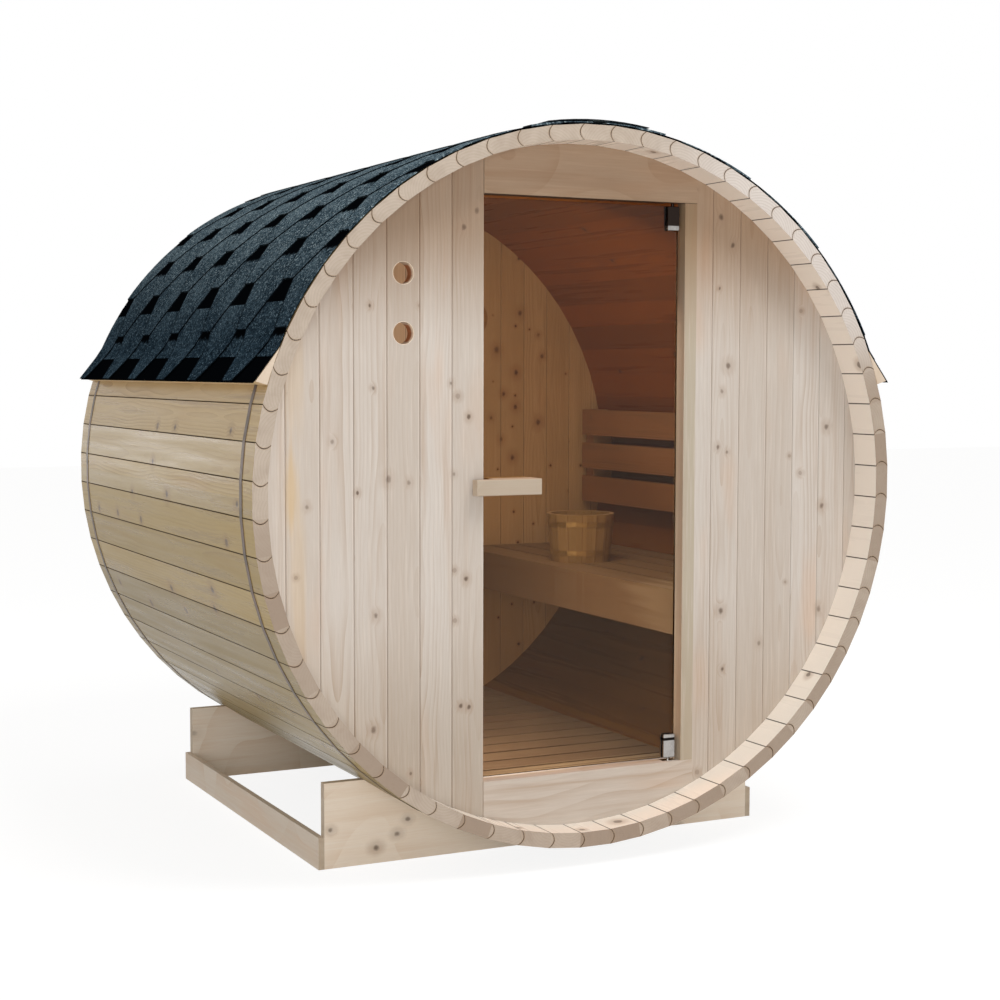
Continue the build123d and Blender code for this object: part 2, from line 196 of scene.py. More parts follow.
def objectPlace(tree):
    return addNode(tree, "ShaderNodeTexCoord").outputs["Object"]


def colour(r, g, b):
    # a colour as it is read off a screen, 0 to 255
    return tuple(((v / 255 + 0.055) / 1.055) ** 2.4 if v > 10 else v / 255 / 12.92 for v in (r, g, b))


def paint(tree, shader, tone, rough, shine=None):
    for name, value in (("Base Color", tone), ("Roughness", rough), ("Specular IOR Level", shine)):
        plug(tree, shader.inputs[name], value)


def addBump(tree, shader, height, strength, distance):
    bump = addNode(tree, "ShaderNodeBump", {"Strength": strength, "Distance": distance, "Height": height})
    tree.links.new(bump.outputs["Normal"], shader.inputs["Normal"])


# camera

photoCamera = {
    "place": (-2.35506, -5.03256, 1.31574),
    "heading": 26.370,      # degrees from straight ahead, to the right
    "down": 4.0413,
    "roll": 0.1262,
    "lens": 65.605,
}
bpy.ops.object.camera_add(location=photoCamera["place"])
camera = bpy.context.object
camera.name = "photoCamera"
camera.rotation_mode = "QUATERNION"
level = Euler((math.radians(90 - photoCamera["down"]), 0, math.radians(-photoCamera["heading"])))
camera.rotation_quaternion = level.to_quaternion() @ Quaternion((0, 0, 1), math.radians(photoCamera["roll"]))
camera.data.lens = photoCamera["lens"]
camera.data.sensor_width = 36
camera.data.clip_start = 0.05
bpy.context.scene.camera = camera
print("camera placed")


# light, floor and background

studio = {
    "skyStrength": 0.47,
    "skyTint": (1.0, 0.985, 0.965),
    "floorSize": 40.0,
    "floorDrop": 0.0005,    # how far the floor stays below what stands on it
    "floorTint": (0.88, 0.87, 0.85),
    "floorDrift": 0.98,     # its darker patches
    "floorWhite": 0.78,     # how far the floor goes to white where the camera sees it
    "floorGlow": 1.12,
    "cabinWarmth": (1.0, 0.84, 0.69),   # light that has come off the boards inside
    "lamps": {
        "key": {"place": (1.0, -3.4, 6.4), "aim": (0.0, -0.4, 0.9), "size": 2.4, "power": 195},
        "fill": {"place": (-2.5, -6.8, 0.9), "aim": (0.0, 0.0, 0.6), "size": 2.8, "power": 150},
        # what the flank's smooth staves shine from
        "streak": {"place": (-2.7, 5.2, 1.05), "aim": (-0.9, -0.2, 1.2), "size": 0.8, "power": 8},
        # these two stand in for daylight inside
        "cabin": {"place": (0.0, -0.40, 1.68), "aim": (0.05, 0.35, 0.3), "size": 0.5, "power": 7.6},
        "bench": {"place": (-0.22, -0.42, 0.60), "aim": (0.55, -0.25, 0.15), "size": 0.4, "power": 2.3},
    },
}


def makeSky():
    world = bpy.data.worlds.new("studioSky")
    bpy.context.scene.world = world
    world.use_nodes = True
    tree = world.node_tree
    tree.nodes.clear()
    sky = {"Color": studio["skyTint"] + (1.0,), "Strength": studio["skyStrength"]}
    lit = addNode(tree, "ShaderNodeBackground", sky)
    shown = addNode(tree, "ShaderNodeBackground", {"Color": (1, 1, 1, 1), "Strength": 1.0})
    mix = mixShaders(tree, seenRays(tree), lit, shown)
    addNode(tree, "ShaderNodeOutputWorld", {"Surface": mix.outputs[0]})


def makeLamps():
    for name, look in studio["lamps"].items():
        deselectAll()
        bpy.ops.object.light_add(type="AREA", location=look["place"])
        lamp = bpy.context.object
        lamp.name = name + "Light"
        lamp.data.energy = look["power"]
        lamp.data.size = look["size"]
        if name in ("cabin", "bench"):
            lamp.data.color = studio["cabinWarmth"]
        lamp.visible_camera = False
        toLamp = Vector(look["place"]) - Vector(look["aim"])
        lamp.rotation_euler = toLamp.to_track_quat("Z", "Y").to_euler()


def makeFloor():
    deselectAll()
    bpy.ops.mesh.primitive_grid_add(x_subdivisions=8, y_subdivisions=8, size=studio["floorSize"],
                                    location=(0, 0, -studio["floorDrop"]))
    floor = bpy.context.object
    floor.name = "studioFloor"
    settle(floor)
    material, tree, shader = newMaterial("studioFloorPale")
    drift = ramp(tree, noise(tree, objectPlace(tree), 0.6), 0.3, 0.7)
    seen = seenRays(tree)
    darker = tuple(v * studio["floorDrift"] for v in studio["floorTint"])
    pale = blend(tree, drift, studio["floorTint"], darker)
    paint(tree, shader, blend(tree, seen, pale, (1, 1, 1)), 0.9, 0.0)
    white = addNode(tree, "ShaderNodeEmission", {"Color": (1, 1, 1, 1), "Strength": studio["floorGlow"]})
    mixed = mixShaders(tree, times(tree, seen, studio["floorWhite"]), shader, white)
    tree.links.new(mixed.outputs[0], tree.nodes["Material Output"].inputs["Surface"])
    floor.data.materials.append(material)


bpy.context.scene.view_settings.view_transform = "Standard"
makeSky()
makeLamps()
makeFloor()
print("studio lit")


# spruce: how every board's pattern is laid out

figure = {
    "stretch": 0.035,       # the grain's scale along the board, against 1 across it
    "ringPitch": 0.008,
    "ringDepth": 0.7,
    "ringSharpness": 2.2,
    "pithDrift": 1.6,       # how far apart boards' piths lie, in boards
    "boardWidth": 0.09,
    "pithDepth": (0.012, 0.05),     # below the face: the least, and how much more
    "swayScale": 1.6,
    "sway": 0.055,
    "knotBend": 0.006,
    "fibreScale": 420,
    "fibreDepth": 0.18,
    "streakScale": 38,
    "streakDepth": 0.7,
    "blushScale": 9.0,
    "lineScale": 150,       # pale lines along the board
    "lineDepth": 0.22,
    "stainRagged": 1.3,
    "bumpHeight": 0.0012,
}
knots = {
    "sizes": (0.022, 0.05),     # smallest and largest, in cells of the scatter
    "wobble": 0.03,
    "length": 0.8,              # under 1 draws them out along the board
    "haloReach": 3.5,           # in radii
    "haloDepth": 0.35,
    "depth": 0.85,
}
staveEnds = {
    "middle": 0.930,        # radius half-way through the staves
    "halfThickness": 0.020,
    "middlePitch": 0.0913,
    "bead": 0.0118,         # how far it stands out from the stave's side
    "pithRadius": 0.83,
    "pithSpread": (0.12, 0.06),     # sideways, and along the radius
    "ringPitch": 0.0075,
    "ringDepth": 0.32,
}
cabinFace = {
    "fadeFrom": 0.935,      # radii between which a stave's side turns to its inner face
    "fadeTo": 0.925,
    "jointTo": 0.945,
    "lipFrom": 0.742,       # past this, front and back, the inner face is outside the end walls
    "lipTo": 0.746,
    "lipDepth": 0.88,
}


def boardPlaces(tree, look):
    # where a point is on its own board: across it, along it and into it
    coords = addNode(tree, "ShaderNodeTexCoord").outputs
    x, y, z = splitVector(tree, coords["Object"])
    if "centre" in look:
        # boards set in a ring
        up, along = (z, y) if look["grain"] == "staves" else (y, z)
        side, up = minus(tree, x, look["centre"][0]), minus(tree, up, look["centre"][1])
        turn = times(tree, calc(tree, "ARCTAN2", up, side), look["count"] / math.tau)
        board = calc(tree, "ROUND", turn)
        offCentre = minus(tree, turn, board)
        across, wallAcross = times(tree, offCentre, look["pitch"]), times(tree, turn, look["pitch"])
        depth = hypotenuse(tree, side, up) if look["grain"] == "staves" else x
    else:
        across, along, depth = {
            "upright": (x, z, y), "sideways": (z, x, y), "bench": (x, y, z), "floor": (y, x, z), "rail": (z, y, x),
        }[look["grain"]]
        wallAcross = across
        shifted = calc(tree, "DIVIDE", minus(tree, across, look["start"]), look["pitch"])
        board = calc(tree, "FLOOR", shifted)
        offCentre = minus(tree, minus(tree, shifted, board), 0.5)
    dice = addNode(tree, "ShaderNodeTexWhiteNoise", {"W": plus(tree, board, look["seed"])}, noise_dimensions="1D")
    chances = splitVector(tree, dice.outputs["Color"])

    # a place on the board that no other board shares
    ownAcross = plus(tree, across, times(tree, chances[0], 9.0))
    ownAlong = plus(tree, along, times(tree, chances[1], 13.0))
    return SimpleNamespace(
        place=coords["Object"], x=x, y=y, z=z, across=across, along=along, depth=depth, wallAcross=wallAcross,
        offCentre=offCentre, chances=chances, ownAcross=ownAcross, ownAlong=ownAlong,
        flat=joinVector(tree, ownAcross, ownAlong, times(tree, chances[2], 5.0)),
        stretched=joinVector(tree, ownAcross, times(tree, ownAlong, figure["stretch"]), depth),
        facing=splitVector(tree, coords["Normal"])[(x, y, z).index(along)])


def knotMasks(tree, look, at):
    cells = addNode(tree, "ShaderNodeTexVoronoi", {"Vector": at.flat, "Scale": look["knotScale"]},
                    voronoi_dimensions="2D").outputs
    dice = splitVector(tree, cells["Color"])[0]
    rare = look["knotRare"]
    present = ramp(tree, dice, rare, rare + 0.02)
    wobble = times(tree, minus(tree, noise(tree, at.flat, 70), 0.5), knots["wobble"])
    reach = plus(tree, cells["Distance"], wobble)
    size = ramp(tree, dice, rare, 1.0, *knots["sizes"], smooth=False)
    knot = times(tree, ramp(tree, reach, times(tree, size, 1.25), times(tree, size, 0.75)), present)
    knot = times(tree, knot, look["knotStrength"])
    halo = times(tree, ramp(tree, reach, times(tree, size, knots["haloReach"]), size), present)
    # the ones that stand out, each where it is on the real boards
    onWall = joinVector(tree, at.wallAcross, times(tree, at.along, knots["length"]), 0.0)
    for across, along, radius, dark in look["knotsAt"]:
        apart = vectorCalc(tree, "DISTANCE", onWall, (across, along * knots["length"], 0))
        apart = calc(tree, "MULTIPLY_ADD", wobble, 0.25, apart)
        knot = calc(tree, "MAXIMUM", knot, ramp(tree, apart, radius * 1.15, radius * 0.25, 0.0, dark))
        halo = calc(tree, "MAXIMUM", halo, ramp(tree, apart, radius * knots["haloReach"], radius, 0.0, dark))
    return knot, halo


def growthRings(tree, at, halo):
    # as they show on a sawn face, bent round the knots
    chanceA, chanceB, chanceC = at.chances
    pith = plus(tree, at.offCentre, times(tree, minus(tree, chanceB, 0.5), figure["pithDrift"]))
    pith = times(tree, pith, figure["boardWidth"])
    swayPlace = joinVector(tree, times(tree, at.ownAcross, 0.6), at.ownAlong, chanceC)
    sway = times(tree, noise(tree, swayPlace, figure["swayScale"], 2.0), figure["sway"])
    least, more = figure["pithDepth"]
    deep = plus(tree, times(tree, chanceA, more), least)
    bend = times(tree, halo, figure["knotBend"])
    place = plus(tree, plus(tree, hypotenuse(tree, pith, deep), sway), bend)
    rings = calc(tree, "FRACT", calc(tree, "DIVIDE", place, figure["ringPitch"]))
    rings = calc(tree, "POWER", rings, figure["ringSharpness"])
    return times(tree, rings, ramp(tree, noise(tree, at.stretched, 26, 2.0), 0.38, 0.68, 0.25, 1.0))


def sawnEnd(tree, look, at, mottled):
    cut = blend(tree, ramp(tree, mottled, 0.35, 0.7), look["end"], look["endOther"])
    if look["grain"] != "staves":
        return cut
    chanceA, chanceB, chanceC = at.chances
    # painted shade low down and to the left, and painted light at the upper right
    lowDown = ramp(tree, calc(tree, "MULTIPLY_ADD", at.x, -0.35, at.z), 1.45, 1.05, 0.12, 1.0)
    uneven = ramp(tree, chanceB, 0.1, 0.9, 0.25, 1.0)
    cut = blend(tree, times(tree, uneven, lowDown), cut, look["endDark"])
    upRight = times(tree, ramp(tree, at.x, 0.05, 0.5), ramp(tree, at.z, 1.25, 1.5, 0.0, 0.8))
    cut = blend(tree, upRight, cut, look["endPale"])
    # growth rings, each stave's round its own pith
    spread, rise = staveEnds["pithSpread"]
    aside = calc(tree, "MULTIPLY_ADD", chanceA, spread, minus(tree, at.across, spread / 2))
    below = minus(tree, at.depth, calc(tree, "MULTIPLY_ADD", chanceC, rise, staveEnds["pithRadius"]))
    fromPith = calc(tree, "MULTIPLY_ADD", mottled, 0.006, hypotenuse(tree, aside, below))
    arcs = calc(tree, "FRACT", calc(tree, "DIVIDE", fromPith, staveEnds["ringPitch"]))
    arcs = calc(tree, "POWER", arcs, 2.0)
    cut = blend(tree, times(tree, arcs, staveEnds["ringDepth"]), cut, look["endDark"])
    # the curved line where one stave's bead sits in the next one's cove
    middle = calc(tree, "DIVIDE", minus(tree, at.depth, staveEnds["middle"]), staveEnds["halfThickness"])
    bow = times(tree, minus(tree, 1.0, times(tree, middle, middle)), staveEnds["bead"])
    for whole in (-0.5, 0.5):
        place = times(tree, minus(tree, at.offCentre, whole), staveEnds["middlePitch"])
        gap = calc(tree, "ABSOLUTE", minus(tree, place, bow))
        cut = blend(tree, ramp(tree, gap, 0.0060, 0.0010, 0.0, 0.22), cut, look["late"])
        cut = blend(tree, ramp(tree, gap, 0.0020, 0.0008, 0.0, 0.9), cut, look["joint"])
    return cut


def spruce(name, look):
    material, tree, shader = newMaterial(name)
    at = boardPlaces(tree, look)
    knot, halo = knotMasks(tree, look, at)
    rings = growthRings(tree, at, halo)
    fibre = noise(tree, at.stretched, figure["fibreScale"], 3.0, 0.65)
    streak = noise(tree, at.stretched, figure["streakScale"], 3.0, 0.55)
    blushPlace = joinVector(tree, at.ownAcross, times(tree, at.ownAlong, 0.22), at.depth)
    blush = noise(tree, blushPlace, figure["blushScale"], 2.0)

    def lay(tone, amount, over, mode="MIX"):
        return blend(tree, amount, tone, over, mode)

    tone = lay(look["pale"], times(tree, rings, figure["ringDepth"]), look["late"])
    tone = lay(tone, ramp(tree, streak, 0.5, 0.78, 0.0, figure["streakDepth"]), look["streak"])
    tone = lay(tone, ramp(tree, blush, 0.55, 0.75, 0.0, look["blushDepth"]), look["blush"])
    tone = lay(tone, ramp(tree, at.chances[2], 0.0, 1.0, 0.0, look["boardSpread"], smooth=False), look["other"])
    tone = lay(tone, ramp(tree, fibre, 0.35, 0.75, 0.0, figure["fibreDepth"]), look["late"])

    # a painted highlight beside one edge of each joint, pale lines along the board, and streaks of resin; on the
    # bench, backrest and floor slats those patches are painted light near the door
    if "stripe" in look:
        side = times(tree, ramp(tree, at.offCentre, 0.440, 0.462), 0.45)
        lines = ramp(tree, noise(tree, at.stretched, figure["lineScale"], 2.0), 0.52, 0.72, 0.0, figure["lineDepth"])
        tone = lay(tone, calc(tree, "MAXIMUM", side, lines), look["stripe"])
    for across, along, halfWidth, halfLength, amount in look["stains"]:
        away = vectorCalc(tree, "SUBTRACT", joinVector(tree, at.across, at.along, 0.0), (across, along, 0))
        away = vectorCalc(tree, "MULTIPLY", away, (1 / halfWidth, 1 / halfLength, 1))
        away = plus(tree, vectorCalc(tree, "LENGTH", away), figure["stainRagged"] / 2)
        away = calc(tree, "MULTIPLY_ADD", streak, -figure["stainRagged"], away)
        tone = lay(tone, ramp(tree, away, 1.0, 0.3, 0.0, amount), look["resin"])

    # tint and painted shade by height: painted shade at the walls' tops under the ring's overhang and on the
    # header's underside, the staves darker and greener towards the bottom; and the brown of a heated cabin inside
    # the barrel
    for low, high, amount, tint in look["weather"]:
        tone = lay(tone, ramp(tree, at.z, low, high, 0.0, amount), colour(*tint), "MULTIPLY")
    if "inside" in look:
        inner = ramp(tree, at.depth, cabinFace["fadeFrom"], cabinFace["fadeTo"])
        pastWall = ramp(tree, calc(tree, "ABSOLUTE", at.y), cabinFace["lipFrom"], cabinFace["lipTo"])
        lip = times(tree, inner, pastWall)
        cabinTint = blend(tree, ramp(tree, at.z, 0.9, 0.5), look["inside"], look["insideLow"])
        tone = lay(tone, inner, cabinTint, "MULTIPLY")
        tone = lay(tone, times(tree, lip, cabinFace["lipDepth"]), look["lip"])
    tone = lay(tone, times(tree, halo, knots["haloDepth"]), look["knotHalo"])
    tone = lay(tone, times(tree, knot, knots["depth"]), look["knot"])

    # inside a vent hole: painted light at the front, painted shade further in
    for holeX, holeZ, radius in look["holes"]:
        inHole = vectorCalc(tree, "DISTANCE", joinVector(tree, at.x, 0.0, at.z), (holeX, 0, holeZ))
        inHole = ramp(tree, inHole, radius + 0.0012, radius + 0.0002)
        bore = blend(tree, ramp(tree, at.y, *look["holeFade"]), look["holeMouth"], look["holeDeep"])
        tone = lay(tone, inHole, bore)

    # the joints between boards
    width = look["jointWidth"]
    joint = ramp(tree, calc(tree, "ABSOLUTE", at.offCentre), 0.5 - width, 0.5 - width * 0.35)
    if "inside" in look:
        # much fainter in the cabin
        faint = ramp(tree, at.depth, cabinFace["fadeTo"], cabinFace["jointTo"], look["jointInside"], 1.0)
        joint = times(tree, joint, calc(tree, "MAXIMUM", faint, lip))
    tone = lay(tone, times(tree, joint, look["jointDark"]), look["joint"])

    mottled = noise(tree, at.place, 24)
    ends = ramp(tree, calc(tree, "ABSOLUTE", at.facing), 0.7, 0.85)
    tone = lay(tone, ends, sawnEnd(tree, look, at, mottled))

    gloss = ramp(tree, streak, 0.3, 0.8, look["rough"] + 0.06, look["rough"] - 0.08)
    paint(tree, shader, tone, calc(tree, "MAXIMUM", gloss, joint), look["shine"])
    height = plus(tree, times(tree, fibre, 0.6), times(tree, rings, 0.5))
    height = minus(tree, height, times(tree, knot, 0.6))
    addBump(tree, shader, height, look["bump"], figure["bumpHeight"])
    return material


def tones(**given):
    return {name: colour(*value) for name, value in given.items()}


# the woods; start and pitch say where the first board begins and how wide a board is
# knotsAt: across, along, radius, darkness     stains: across, along, half width, half length, amount (painted light on the bench and slats)
# weather: from height, to height, amount, tint     holes: x, z, radius

staveLook = dict(
    grain="staves", centre=(0.0, barrel["axisHeight"]), count=barrel["staveCount"], pitch=barrel["stavePitch"],
    seed=3.0, boardSpread=0.9, blushDepth=0.3, knotScale=4.0, knotRare=0.5, knotStrength=0.7,
    jointDark=0.95, jointWidth=0.026, jointInside=0.12, rough=0.30, shine=0.14, bump=0.3, stains=(), holes=(),
    knotsAt=((2.930, 0.015, 0.010, 1.0), (-2.942, 0.236, 0.009, 0.9), (-2.957, -0.127, 0.012, 1.0),
             (-2.970, -0.742, 0.010, 1.0), (-2.673, 0.009, 0.013, 0.9), (-2.717, -0.416, 0.013, 0.9),
             (-2.658, -0.383, 0.012, 1.0), (2.828, -0.171, 0.010, 0.9), (2.823, -0.657, 0.010, 0.9)),
    weather=((1.45, 0.9, 0.9, (214, 212, 170)), (0.9, 0.2, 0.9, (200, 200, 164))),
    **tones(pale=(222, 192, 144), late=(178, 138, 88), streak=(160, 126, 80), blush=(204, 156, 104),
            other=(180, 154, 108), knot=(58, 38, 24), knotHalo=(140, 100, 60), joint=(44, 28, 16),
            inside=(206, 148, 66), insideLow=(238, 214, 184), lip=(255, 246, 234),
            end=(192, 178, 163), endOther=(182, 167, 152), endDark=(158, 140, 124), endPale=(220, 212, 206)))
wallLook = dict(
    grain="upright", start=-0.285, pitch=0.091, seed=11.0, boardSpread=0.8, blushDepth=0.5,
    knotScale=7.0, knotRare=0.68, knotStrength=0.35, knotsAt=(), jointDark=0.4, jointWidth=0.016,
    rough=0.55, shine=0.25, bump=0.25, stains=(), holes=(),
    # painted shade: the wall darker at the top, under the ring's overhang; a little darker towards the bottom
    weather=((1.34, 1.72, 1.0, (214, 192, 170)), (0.75, 0.3, 0.6, (238, 232, 224))),
    **tones(pale=(206, 198, 190), late=(174, 152, 132), streak=(178, 156, 136), blush=(208, 178, 154),
            other=(190, 178, 166), stripe=(222, 212, 202), resin=(206, 178, 136), knot=(92, 72, 58),
            knotHalo=(160, 134, 112), joint=(126, 98, 78), end=(204, 188, 168), endOther=(190, 170, 148)))
leftWallLook = dict(
    # painted shade at the top, under the ring's overhang; a little darker towards the bottom
    wallLook, weather=((1.34, 1.72, 1.0, (206, 188, 170)), (0.75, 0.3, 1.0, (232, 228, 222))),
    holes=((-0.5125, 1.564, 0.0285), (-0.5125, 1.412, 0.0285)), holeFade=(-0.756, -0.742),
    knotsAt=(
        (-0.329, 1.198, 0.006, 1.0), (-0.337, 0.776, 0.007, 1.0), (-0.639, 1.009, 0.005, 1.0),
        (-0.555, 1.041, 0.009, 0.6), (-0.590, 0.694, 0.007, 0.8), (-0.5955, 1.272, 0.005, 0.8),
        (-0.498, 1.031, 0.006, 0.6), (-0.605, 1.480, 0.005, 1.0), (-0.306, 1.729, 0.008, 0.8),
        (-0.3435, 1.685, 0.008, 0.9), (-0.3795, 1.285, 0.005, 0.7), (-0.370, 1.050, 0.005, 0.6),
        (-0.707, 1.139, 0.006, 0.6), (-0.775, 0.977, 0.006, 0.6), (-0.351, 0.442, 0.006, 1.0),
        (-0.327, 0.438, 0.006, 1.0), (-0.5975, 0.400, 0.009, 0.8), (-0.494, 0.277, 0.005, 0.8)),
    stains=((-0.814, 1.02, 0.024, 0.15, 0.65), (-0.800, 0.80, 0.030, 0.30, 0.3), (-0.805, 1.30, 0.035, 0.25, 0.25)),
    **tones(holeMouth=(252, 236, 214), holeDeep=(176, 118, 82)))
rightWallLook = dict(
    wallLook, start=0.416, seed=51.0, knotsAt=(
        (0.441, 1.740, 0.009, 1.0), (0.4805, 1.665, 0.008, 1.0), (0.439, 1.545, 0.004, 0.9),
        (0.470, 1.332, 0.009, 0.8), (0.450, 1.261, 0.006, 0.6), (0.438, 1.107, 0.006, 0.8),
        (0.4685, 1.093, 0.005, 0.7), (0.807, 1.158, 0.008, 0.8), (0.877, 1.296, 0.007, 0.6),
        (0.794, 0.932, 0.008, 0.8), (0.453, 0.647, 0.009, 0.9), (0.461, 0.481, 0.006, 1.0),
        (0.583, 0.548, 0.007, 0.6), (0.788, 0.634, 0.008, 0.6)))
backWallLook = dict(
    wallLook, start=0.0455, seed=81.0, weather=(), knotScale=10.0, knotRare=0.35, knotStrength=1.0, jointDark=0.7,
    knotsAt=(
        (0.483, 1.390, 0.012, 0.8), (0.575, 1.520, 0.010, 0.8), (0.560, 1.311, 0.010, 1.0),
        (0.511, 1.237, 0.008, 1.0), (0.5575, 1.191, 0.009, 1.0), (0.648, 1.135, 0.011, 0.9),
        (0.501, 1.076, 0.008, 0.7), (0.546, 1.011, 0.010, 0.9), (0.663, 1.370, 0.008, 0.8),
        (0.462, 1.153, 0.007, 0.7), (0.648, 1.444, 0.007, 0.6), (-0.42, 1.31, 0.010, 0.9)),
    **tones(pale=(222, 206, 184), other=(202, 182, 154), stripe=(234, 220, 200), knot=(84, 52, 36),
            knotHalo=(170, 126, 92), joint=(84, 56, 40)))
sillLook = dict(wallLook, grain="sideways", start=-0.1, pitch=0.4, seed=33.0, knotRare=0.9)
headerLook = dict(
    sillLook, start=1.7, seed=31.0,
    weather=wallLook["weather"] + ((1.7755, 1.7740, 1.0, (98, 86, 78)),))   # its shaded underside
jambLook = dict(
    wallLook, start=0.3, pitch=0.2, seed=37.0, knotRare=0.9, **tones(pale=(188, 178, 160), other=(178, 166, 148)))
cradleLook = dict(
    wallLook, grain="sideways", start=-1.0, pitch=3.0, seed=61.0, weather=(), knotScale=3.0, knotRare=0.85,
    knotsAt=((0.1036, -0.648, 0.007, 0.8), (0.110, -0.425, 0.007, 0.8), (0.073, -0.455, 0.008, 0.8),
             (0.042, -0.517, 0.009, 0.9), (0.12, 0.44, 0.008, 0.8)),
    **tones(pale=(250, 238, 224), late=(222, 192, 164), streak=(224, 196, 168), stripe=(252, 244, 234),
            blush=(242, 210, 182), other=(244, 228, 208)))
backCradleLook = dict(cradleLook, seed=64.0, knotsAt=((0.15, -0.66, 0.011, 0.35),))
railLook = dict(
    cradleLook, grain="rail", seed=67.0, knotsAt=(), **tones(pale=(242, 230, 216), other=(232, 216, 196)))
eaveLook = dict(
    cradleLook, grain="rail", pitch=5.0, seed=71.0,
    **tones(pale=(228, 202, 162), late=(204, 168, 120), streak=(206, 172, 126), stripe=(236, 214, 178),
            blush=(216, 176, 130), other=(220, 192, 148), end=(214, 196, 176), endOther=(208, 188, 166)))
benchLook = dict(
    wallLook, grain="bench", start=0.335, pitch=0.103, seed=91.0, weather=(), knotRare=0.8,
    # painted light: a pale patch at the bench's near end, where daylight falls in at the door
    stains=((0.36, -0.76, 0.6, 0.38, 0.65),),
    **tones(pale=(166, 152, 140), late=(139, 114, 92), streak=(139, 117, 96), stripe=(172, 161, 149),
            blush=(155, 126, 103), other=(153, 136, 118), resin=(232, 230, 226)))
slatLook = dict(
    # painted light: the slats paler near the door, where daylight falls in
    benchLook, grain="floor", start=-0.72, pitch=0.102, seed=101.0, stains=((-0.74, 0.0, 0.26, 1.4, 0.9),),
    **tones(pale=(162, 152, 150), late=(134, 118, 110), streak=(122, 108, 102), stripe=(174, 166, 162),
            blush=(160, 132, 122), other=(146, 134, 132), resin=(240, 242, 244)))
backrestLook = dict(
    benchLook, grain="rail", start=0.86, pitch=0.118, seed=111.0,
    **tones(pale=(178, 140, 112), late=(150, 110, 82), other=(166, 126, 96), stripe=(188, 152, 124)))
handleLook = dict(
    wallLook, grain="sideways", start=0.5, pitch=1.1, seed=121.0, weather=(), knotRare=0.98,
    **tones(pale=(186, 172, 154), late=(168, 148, 126), other=(180, 164, 146), stripe=(198, 186, 170)))
pailLook = dict(
    benchLook, grain="pail", centre=(0.490, 0.120), count=14, pitch=0.046, seed=131.0, knotRare=0.95,
    jointDark=0.7, jointWidth=0.03,
    **tones(pale=(178, 160, 130), late=(146, 122, 90), streak=(150, 130, 98), stripe=(188, 170, 142),
            blush=(164, 138, 104), other=(160, 142, 110), joint=(96, 64, 40)))

# each wood with the CAD nodes that take it
woods = {
    "staveSpruce": (staveLook, [name for name in nodes if name.startswith("staves_")]),
    "leftWallSpruce": (leftWallLook, ["front_wall_left", "front_wall_vent_board"]),
    "rightWallSpruce": (rightWallLook, ["front_wall_right"]),
    "backWallSpruce": (backWallLook, ["back_wall"]),
    "headerSpruce": (headerLook, ["door_header"]),
    "sillSpruce": (sillLook, ["door_sill"]),
    "jambSpruce": (jambLook, ["hinge_jamb"]),
    "cradleSpruce": (cradleLook, ["cradle_support_front"]),
    "backCradleSpruce": (backCradleLook, ["cradle_support_back"]),
    "railSpruce": (railLook, ["cradle_rail_left", "cradle_rail_right"]),
    "eaveSpruce": (eaveLook, ["left_eave_batten", "right_eave_batten"]),
    "benchSpruce": (benchLook, ["right_bench_boards", "left_bench_boards", "right_bench_bearers",
                                "left_bench_bearers", "floor_runners"]),
    "slatSpruce": (slatLook, ["floor_slats"]),
    "backrestSpruce": (backrestLook, ["right_backrest_slats", "left_backrest_slats", "backrest_uprights"]),
    "handleSpruce": (handleLook, ["door_handle", "inner_handle"]),
    "pailPine": (pailLook, ["water_pail"]),
}
finishes = [(spruce(name, look), members) for name, (look, members) in woods.items()]
print("spruce mixed,", len(woods), "woods")


# glass, metal and the dial

bronze = {
    "tint": colour(230, 218, 195),
    "cloud": 0.94,                      # how much light its darker patches let through
    "lampTint": colour(225, 201, 177),  # what daylight through it looks like
    "film": 0.32,                       # how strongly its face mirrors
    "smooth": 0.03,
    "smear": 0.03,
}


def bronzeGlass():
    material, tree, shader = newMaterial("bronzeGlass")
    tree.nodes.remove(shader)
    place = objectPlace(tree)
    cloud = ramp(tree, noise(tree, place, 3.0, 2.0), 0.3, 0.7)
    tint = blend(tree, cloud, bronze["tint"], tuple(v * bronze["cloud"] for v in bronze["tint"]))
    through = addNode(tree, "ShaderNodeBsdfTransparent", {"Color": tint})
    smear = ramp(tree, noise(tree, place, 14.0), 0.4, 0.8, bronze["smooth"], bronze["smooth"] + bronze["smear"])
    film = addNode(tree, "ShaderNodeBsdfGlossy", {"Color": (bronze["film"],) * 3 + (1,), "Roughness": smear})
    fresnel = addNode(tree, "ShaderNodeFresnel", {"IOR": 1.5})
    pane = mixShaders(tree, fresnel.outputs[0], through, film)
    path = addNode(tree, "ShaderNodeLightPath").outputs
    lampRay = calc(tree, "MAXIMUM", path["Is Shadow Ray"], path["Is Diffuse Ray"])
    lamps = addNode(tree, "ShaderNodeBsdfTransparent", {"Color": bronze["lampTint"] + (1.0,)})
    both = mixShaders(tree, lampRay, pane, lamps)
    tree.links.new(both.outputs[0], tree.nodes["Material Output"].inputs["Surface"])
    return material


def metal(name, look):
    material, tree, shader = newMaterial(name)
    place = objectPlace(tree)
    brushed = addNode(tree, "ShaderNodeMapping", {"Vector": place, "Scale": look["brush"]})
    lines = noise(tree, brushed.outputs[0], look["scale"], 4.0, 0.6)
    cloud = noise(tree, place, 18.0)
    tone = blend(tree, ramp(tree, cloud, 0.35, 0.7), look["tone"], look["other"])
    tone = blend(tree, ramp(tree, lines, 0.5, 0.8, 0.0, 0.35), tone, look["line"])
    height = splitVector(tree, place)[2]
    for low, high, shade in look.get("zones", ()):
        inZone = times(tree, ramp(tree, height, low, low + 0.0006), ramp(tree, height, high, high - 0.0006))
        tone = blend(tree, inZone, tone, shade)
    paint(tree, shader, tone, ramp(tree, lines, 0.3, 0.75, look["smooth"], look["rough"]))
    shader.inputs["Metallic"].default_value = look["metallic"]
    addBump(tree, shader, lines, look["bump"], 0.0003)
    return material


